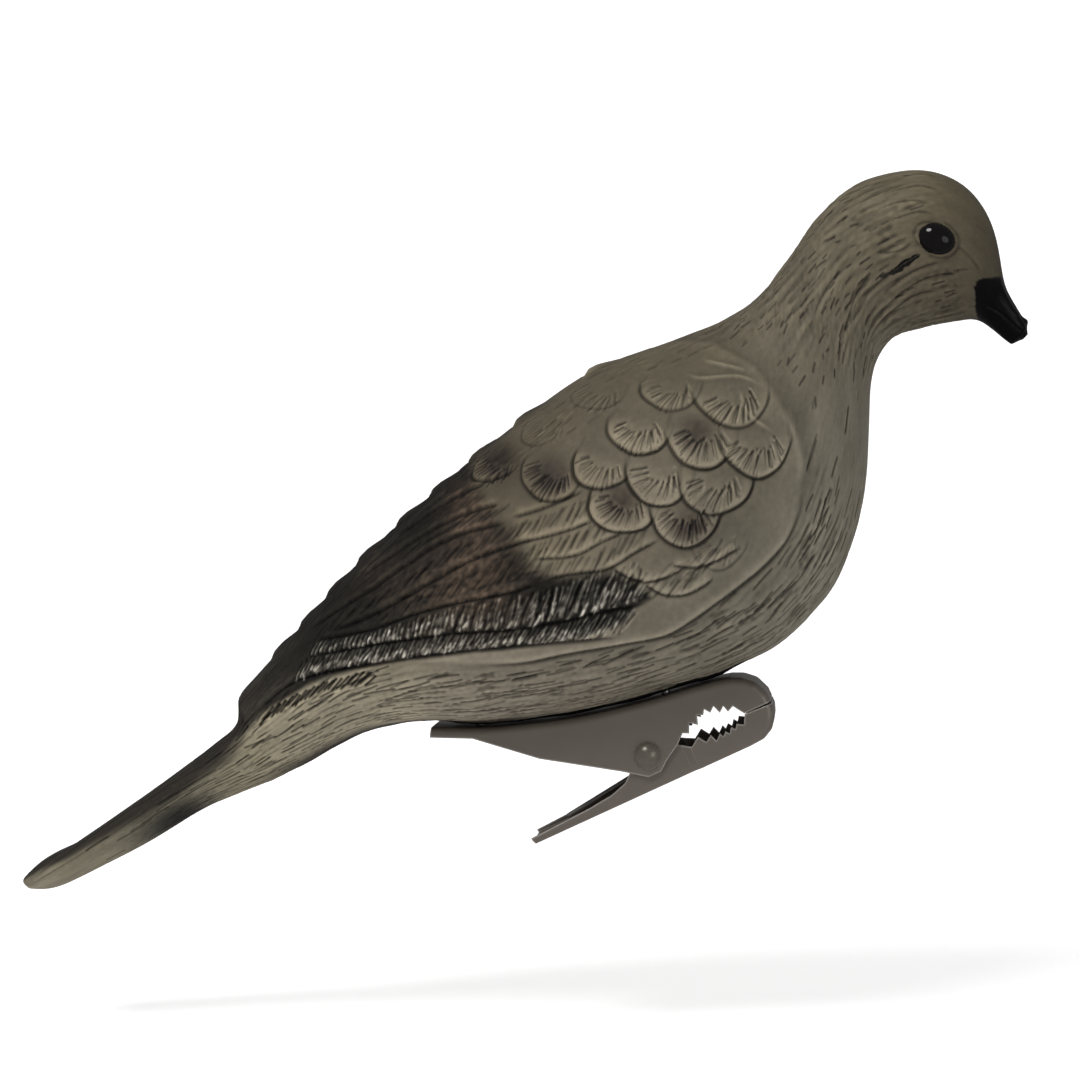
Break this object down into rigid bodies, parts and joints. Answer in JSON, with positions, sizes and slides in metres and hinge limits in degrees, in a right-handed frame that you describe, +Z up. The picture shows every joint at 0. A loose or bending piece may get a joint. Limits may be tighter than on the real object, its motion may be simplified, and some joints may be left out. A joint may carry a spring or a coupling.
{
  "type": "clip-on bird decoy",
  "caption": "Life-size moulded dove decoy standing on a sprung steel clip that grips a twig, wire or fence strand.",
  "frame": {"origin": "middle of the clip's closed mouth, where a twig is gripped, in the decoy's mid-plane", "axes": "+X the way the bird faces, +Y to the bird's left, +Z up"},
  "size_m": [0.2627, 0.0728, 0.1889],
  "materials": {
    "body_paint": "hollow moulded plastic, airbrushed matt taupe with dark feather markings and dry-brushed barbs",
    "eye_bead": "gloss black bead",
    "clip_paint": "stamped sheet steel, satin grey-brown paint worn bright along its edges",
    "rivet_paint": "domed rivet, satin grey-brown paint",
    "spring_wire": "drawn spring wire",
    "screw_steel": "zinc-plated steel"
  },
  "bodies": {
    "decoy": {"body_half_right": "body_paint", "body_half_left": "body_paint", "eye_right": "eye_bead", "eye_left": "eye_bead", "clip_upper_jaw": "clip_paint", "pivot_rivet": "rivet_paint", "torsion_spring": "spring_wire", "clip_screw_front": "screw_steel", "clip_screw_rear": "screw_steel"},
    "lower_jaw": {"clip_lower_jaw": "clip_paint"}
  },
  "joints": [
    {"name": "jaw_hinge", "type": "hinge", "parent": "decoy", "child": "lower_jaw", "pos_m": [-0.01649, 0, -0.00769], "axis": [0, 1, 0], "range_deg": [0, 32], "stiffness_Nm_per_rad": 0.2, "springref_deg": -28.65, "deforming": ["torsion_spring"]}
  ]
}
